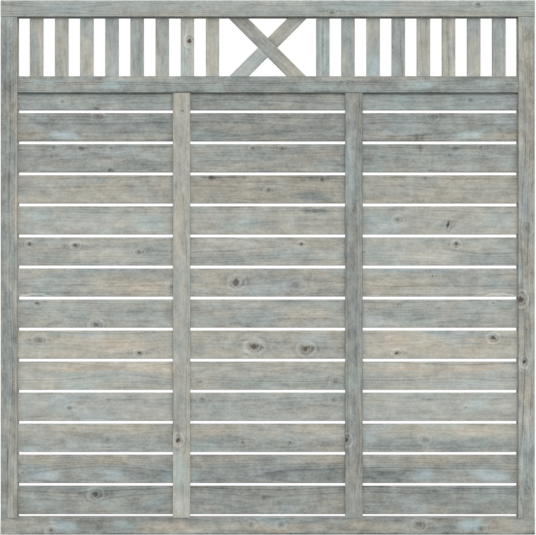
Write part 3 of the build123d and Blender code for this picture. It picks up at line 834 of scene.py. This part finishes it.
# Pickets: sixteen short uprights of the lattice, eight on each side of the cross.
# Planed softwood slats, their ends set in the grooves of the mid rail and the top rail.
picket_arris = 1.8 * mm
lattice_glaze = glazed("lattice_glaze", ring_width=5.2 * mm, lines=0.9, mottle=0.95)
picket_looks = {
    "left": [
        dict(tone=(0.1, 0.06, 0.06), marks=[(0, -14, 130, 6, 0.4, 0, 0.03)]),
        dict(tone=(0.18, 0, 0.005), marks=[(0, 4, 130, 3, 0.25, 0, -0.14), (20, -9, 70, 3, 0.2, 0, -0.1)]),
        dict(tone=(0.1, 0.05, 0.16),
             marks=[(75, 0, 40, 30, 0, 0.3, -0.02), (-40, 0, 70, 30, 0.1, 0, 0),
                    (46, 5, 8, 12, 0, 0, -0.14)]),
        dict(tone=(0, 0.15, 0.03), marks=[(60, 0, 48, 30, 0, 0.2, -0.06), (-50, 0, 50, 30, 0, 0, 0.06)]),
        dict(tone=(0, 0.2, 0.02), marks=[(0, -13, 90, 3.5, 0, 0.1, -0.16), (-25, -5, 50, 3, 0, 0.1, -0.12)]),
        dict(tone=(0.05, 0.08, 0.03), marks=[(60, 0, 40, 30, 0, 0.2, 0), (-30, 8, 60, 4, 0.1, 0, -0.08)]),
        dict(tone=(0.17, 0, 0.22), knots=[(22, -7, 9, 0.95)], marks=[(-60, 12, 45, 12, 0, 0.3, 0)]),
        dict(tone=(0.2, 0, 0.2), marks=[(0, 9, 130, 3.5, 0, 0, -0.08)]),
    ],
    "right": [
        dict(tone=(0, 0.15, -0.01), marks=[(60, 0, 48, 30, 0, 0.2, -0.06), (-50, 0, 50, 30, 0, 0, 0.06)]),
        dict(tone=(0, 0.17, 0.115), marks=[(75, 0, 40, 30, 0, 0.3, -0.04), (-40, 0, 70, 30, 0.1, 0, 0)]),
        dict(tone=(0.25, 0, 0.1), marks=[(0, 2, 130, 3.5, 0, 0, -0.26), (0, -12, 130, 4, 0, 0, 0.12)]),
        dict(tone=(0.1, 0, 0.08), marks=[(0, 6, 110, 3.5, 0.1, 0, -0.26), (10, -9, 90, 3.5, 0.1, 0, -0.24)]),
        dict(tone=(0, 0.26, -0.115), marks=[(-20, -10, 70, 4, 0, 0, -0.18), (0, 7, 130, 4, 0, 0, 0.12)]),
        dict(tone=(0, 0.22, 0.115), marks=[(45, 0, 68, 30, 0.2, 0, -0.08), (-68, 0, 38, 30, 0, 0.6, 0.1)]),
        dict(tone=(0, 0.25, -0.04), marks=[(-55, 12, 45, 12, 0.2, 0, 0.06), (25, 0, 9, 13, 0, 0, -0.2)]),
        dict(tone=(0, 0.4, 0.04),
             marks=[(0, 8, 90, 3.5, 0, 0.3, 0.26), (0, -8, 90, 3.5, 0, 0.3, 0.22),
                    (0, 0, 90, 3.5, 0, 0, -0.2)]),
    ],
}
for side, side_looks in picket_looks.items():
    for number, looks in enumerate(side_looks, 1):
        upright_slat(f"{side}_picket_{number}", picket_arris, lattice_glaze, looks)


# Braces: two slats that cross in the middle of the lattice, halved into each other where they meet.
# Their ends are cut level, so that they sit on the floor of the mid rail's groove and in the top rail's.
brace_width = 45 * mm
lap_play = 0.1 * mm
lap_wall = 0.05 * mm
lap_half = brace_width / 2 + lap_play
arm_steps = 11
lap_steps = 5
brace_looks = {
    "falling_brace": (-1, dict(
        tone=(0.08, 0.05, -0.06),
        marks=[(0, 0, 55, 30, 0, 0.2, -0.08), (-110, 0, 50, 30, 0, 0.1, -0.06),
               # The dark line along the lower left edge is painted shade on the side turned away from the
               # light
               (110, 0, 60, 30, 0.15, 0, 0.05), (0, -19, 170, 4, 0, 0, -0.12)])),
    "rising_brace": (1, dict(
        tone=(0.05, 0.1, 0.08),
        marks=[(-80, 0, 70, 30, 0, 0.25, 0.06), (100, 0, 70, 30, 0.2, 0, -0.04)])),
}


def level_ends_and_lap(rise, angle, reach):
    """Slants the ends level, by across over the slope, and takes half the thickness off within the lap."""
    def sink(points):
        along = points[:, 0].copy()
        slant = np.clip((np.abs(along) - lap_half - lap_wall) / (reach - lap_half - lap_wall), 0, 1)
        points[:, 0] -= rise * slant * points[:, 1] / np.tan(angle)
        halved = -rise * np.maximum(-rise * points[:, 2], lap_play / 2)
        points[:, 2] = np.where(np.abs(along) < lap_half + lap_wall / 2, halved, points[:, 2])
    return sink


for node, (rise, looks) in brace_looks.items():
    low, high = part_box(node)
    tall, wide, thickness = high.z - low.z, high.x - low.x, high.y - low.y
    angle = np.arctan2(tall, wide) + np.arcsin(brace_width / np.hypot(tall, wide))
    heading = np.array((np.cos(angle), 0, rise * np.sin(angle)))
    axes = (heading, (-heading[2], 0, heading[0]), (0, -1, 0))
    reach = tall / 2 / np.sin(angle)
    arm = np.linspace(-reach, -lap_half - lap_wall, arm_steps)
    places = np.concatenate([arm, np.linspace(-lap_half, lap_half, lap_steps), -arm[::-1]])
    outline = section(rectangle(brace_width, thickness), picket_arris)
    timber(node, axes, (low + high) / 2, [bar(*outline, places)], lattice_glaze,
           cuts=[level_ends_and_lap(rise, angle, reach)], **looks)


# Top rail: the same bar as the bottom rail, over both stiles and grooved below for the lattice.
# Planed and glazed softwood, fixed by one countersunk screw driven down into each stile.
low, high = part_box("top_rail")
height, depth = high.z - low.z, high.y - low.y
top, lip, floor = height / 2, groove_width / 2, groove_depth - height / 2
corners = [(-top, -depth / 2), (top, -depth / 2), (top, depth / 2), (-top, depth / 2),
           (-top, lip), (floor, lip), (floor, -lip), (-top, -lip)]
radii = [frame_arris] * 4 + [groove_round] * 4
outline = section(corners, radii, {1: fine_seat})
top_rail_glaze = glazed("top_rail_glaze", ring_width=5.8 * mm, lines=0.95, mottle=0.8)
timber(
    "top_rail", lying, (low + high) / 2, [bar(*outline, stations(-high.x, high.x, seat_places))],
    top_rail_glaze, (0, 0.17, 0.02),
    knots=[(-235, 8, 6, 0.35), (216, -13, 9, 0.45), (708, 12, 7, 0.5)],
    marks=[(-850, 0, 45, 28, 0, 0.15, -0.05), (-683, 4, 84, 14, 0, 0.45, 0.08),
           (-480, 21, 440, 7, 0, 0, 0.06), (0, 18, 950, 10, 0, 0.05, 0.08),
           (0, -19, 950, 7, 0.2, 0, -0.03), (330, 8, 140, 14, 0, 0.3, 0.04)],
    cuts=[screw_seats([-joint_x, joint_x], 1)])


# Frame screws: one driven into each joint of the frame, its head a little below the wood.
# Turned steel with a countersunk head, a six lobed drive and a coarse thread, zinc plated.
screw_sides = 36
drive_lobes = 6
head_recess = 0.6 * mm
head_radius = 5.75 * mm
shank_radius = 3 * mm
core_radius = 2.1 * mm
screw_tip = 100.6 * mm
thread_start, thread_stop = 40 * mm, 94.6 * mm
thread_pitch = 3.6 * mm
thread_steps = 6
ridge_slope = 2.2
drive_floor = (1.9 * mm, 0.35 * mm, 2.8 * mm)
drive_mouth = (2.3 * mm, 0.45 * mm, head_recess)
head_face = (5.55 * mm, 0, head_recess)
head_rim = (head_radius, 0, head_recess + 0.15 * mm)
head_root = (shank_radius, 0, head_recess + head_radius - shank_radius)
shank_end = (shank_radius, 0, thread_start)


def threaded_screw():
    """Screw turned about its axis: each ring has a radius, a lobed share of it and a depth below the wood.

    A lobed ring's radius swings with the cosine of six times the angle. A thread ring's is the core, and
    a ridge that falls off evenly on both sides of a line which gains one pitch of depth in each turn.
    Gives rings of points as (radius, angle, depth), from the drive's floor to the thread's end.
    """
    angle = np.arange(screw_sides) * 2 * np.pi / screw_sides
    head = np.array((drive_floor, drive_mouth, head_face, head_rim, head_root, shank_end))
    head_radii = head[:, :1] + head[:, 1:2] * np.cos(drive_lobes * angle)
    depth = np.arange(thread_start + thread_pitch / thread_steps, thread_stop, thread_pitch / thread_steps)
    turns = depth[:, None] / thread_pitch - angle / (2 * np.pi)
    ridge = np.clip(1 - ridge_slope * np.abs(2 * (turns % 1) - 1), 0, 1)
    radii = np.concatenate([head_radii, core_radius + (shank_radius - core_radius) * ridge])
    depths = np.broadcast_to(np.concatenate([head[:, 2], depth])[:, None], radii.shape)
    return radii, np.broadcast_to(angle, radii.shape), depths


radii, angles, depths = threaded_screw()
rings = len(radii)
seats = [((side * joint_x, 0, level), (0, 0, out))
         for level, out in ((high.z, 1), (0, -1)) for side in (-1, 1)]
seats += [((side * high.x, 0, mid_rail_middle), (side, 0, 0)) for side in (-1, 1)]
spot, outward = np.array(seats, float).transpose(1, 0, 2)
aside = np.broadcast_to((0, 1, 0), outward.shape)
upward = np.cross(outward, aside)
grid = np.stack([radii * np.cos(angles), radii * np.sin(angles), -depths], axis=2).reshape(-1, 3)
poles = np.array(((0, 0, -drive_floor[2]), (0, 0, -screw_tip)))
grid = np.concatenate([grid, poles])
points = spot[:, None] + np.einsum("pk,kna->npa", grid, np.stack([aside, upward, outward]))
around = np.arange(screw_sides)
next_around = np.roll(around, -1)
last_ring = (rings - 1) * screw_sides
floor_pole = np.full(screw_sides, rings * screw_sides)
floor_cap = np.stack([floor_pole, around, next_around], axis=1)
tip_cap = np.stack([last_ring + next_around, last_ring + around, floor_pole + 1], axis=1)
turned_faces = ring_faces(rings, screw_sides)[:, ::-1]
fasteners("zinc_frame_screws", "frame_screws", points, turned_faces, [floor_cap, tip_cap])


# Ground: a plain pale floor that takes the panel's shadow close by and turns white further off.
# Only the camera sees it pale; to the panel it is a dull ground, which throws little light back up.
floor_half = 30
clear_from, clear_to = 0.12, 0.32


def seen_directly(wire):
    """One for the rays that show a background: from the camera, in a reflection or through glass."""
    path = wire.node("ShaderNodeLightPath").outputs
    mirrored = wire.calc("MAXIMUM", path["Is Glossy Ray"], path["Is Transmission Ray"])
    return wire.calc("MAXIMUM", path["Is Camera Ray"], mirrored)


ground_mesh = bpy.data.meshes.new("ground")
edge = np.array(((-1, -1, 0), (1, -1, 0), (1, 1, 0), (-1, 1, 0)), float) * floor_half
ground_mesh.from_pydata(edge, [], [(0, 1, 2, 3)])
ground = put_in_scene("ground", ground_mesh)
pale, wire, shader = new_material("pale_ground")
seen = seen_directly(wire)
ground_dull, ground_pale = paint(120, 120, 120), paint(232, 232, 232)
wire.feed(shader, {"Base Color": wire.blend(seen, ground_dull, ground_pale), "Roughness": 0.9})
off_line = wire.parts(wire.node("ShaderNodeTexCoord").outputs["Object"])[1]
beyond = wire.product(seen, wire.between(wire.calc("ABSOLUTE", off_line), clear_from, clear_to))
white = wire.node("ShaderNodeEmission", {"Color": (1, 1, 1, 1), "Strength": 1})
mixed = wire.node("ShaderNodeMixShader", {0: beyond, 1: shader.outputs[0], 2: white.outputs[0]})
wire.feed(pale.node_tree.nodes["Material Output"], {"Surface": mixed.outputs[0]})
ground_mesh.materials.append(pale)


# Light: an even white sky, a broad soft lamp in front and above, a wider one from the right,
# and one behind, so that the rear is as well lit as the front.
# A lamp is degrees to the right and up, its breadth in degrees, and its share of the light.
sky_strength = 1.1
lamp_distance = 3
lamps = {
    "front_lamp": (3, 24, 26, 0.21),
    "side_lamp": (42, 38, 50, 0.075),
    "rear_lamp": (170, 15, 40, 0.26),
}
world = bpy.data.worlds.new("sky")
bpy.context.scene.world = world
world.use_nodes = True
wire = Wiring(world.node_tree)
plain = wire.node("ShaderNodeBackground", {"Color": (1, 1, 1, 1), "Strength": sky_strength})
white = wire.node("ShaderNodeBackground", {"Color": (1, 1, 1, 1), "Strength": 1})
mixed = wire.node("ShaderNodeMixShader", {0: seen_directly(wire), 1: plain.outputs[0], 2: white.outputs[0]})
wire.feed(world.node_tree.nodes["World Output"], {"Surface": mixed.outputs[0]})
for name, (round_to_right, up, breadth, share) in lamps.items():
    turn, rise = np.radians(round_to_right), np.radians(up)
    toward = np.array((np.sin(turn) * np.cos(rise), -np.cos(turn) * np.cos(rise), np.sin(rise)))
    lamp = bpy.data.lights.new(name, "SUN")
    lamp.angle = np.radians(breadth)
    lamp.energy = share * np.pi / abs(toward[1])
    lamp_object = put_in_scene(name, lamp)
    lamp_object.location = toward * lamp_distance
    lamp_object.rotation_euler = (np.pi / 2 - rise, 0, turn)


# Camera: square on to the front, a little left of the middle, with the panel filling the picture.
# The panel's edges are given in pixels of the picture, and the lens and the shift follow from them.
eye_x, eye_z = -0.03, 0.9
eye_distance = 5.4
picture_width, picture_height = 536, 535
panel_left, panel_right = 0.57, 534.9
panel_top, panel_bottom = 0.1, 534.5
panel_front = cad_low.y
metres_per_pixel = (cad_high.x - cad_low.x) / (panel_right - panel_left)
camera = bpy.data.cameras.new("camera")
camera.sensor_width = 36
camera.lens = camera.sensor_width * eye_distance / (picture_width * metres_per_pixel)
aim_x = (picture_width - panel_left - panel_right) / 2 * metres_per_pixel
aim_z = (cad_low.z + cad_high.z + (panel_top + panel_bottom - picture_height) * metres_per_pixel) / 2
camera.shift_x = (aim_x - eye_x) / (picture_width * metres_per_pixel)
camera.shift_y = (aim_z - eye_z) / (picture_width * metres_per_pixel)
camera_object = put_in_scene("camera", camera)
camera_object.location = (eye_x, panel_front - eye_distance, eye_z)
camera_object.rotation_euler = (np.pi / 2, 0, 0)
bpy.context.scene.camera = camera_object
bpy.context.scene.view_settings.view_transform = "Standard"
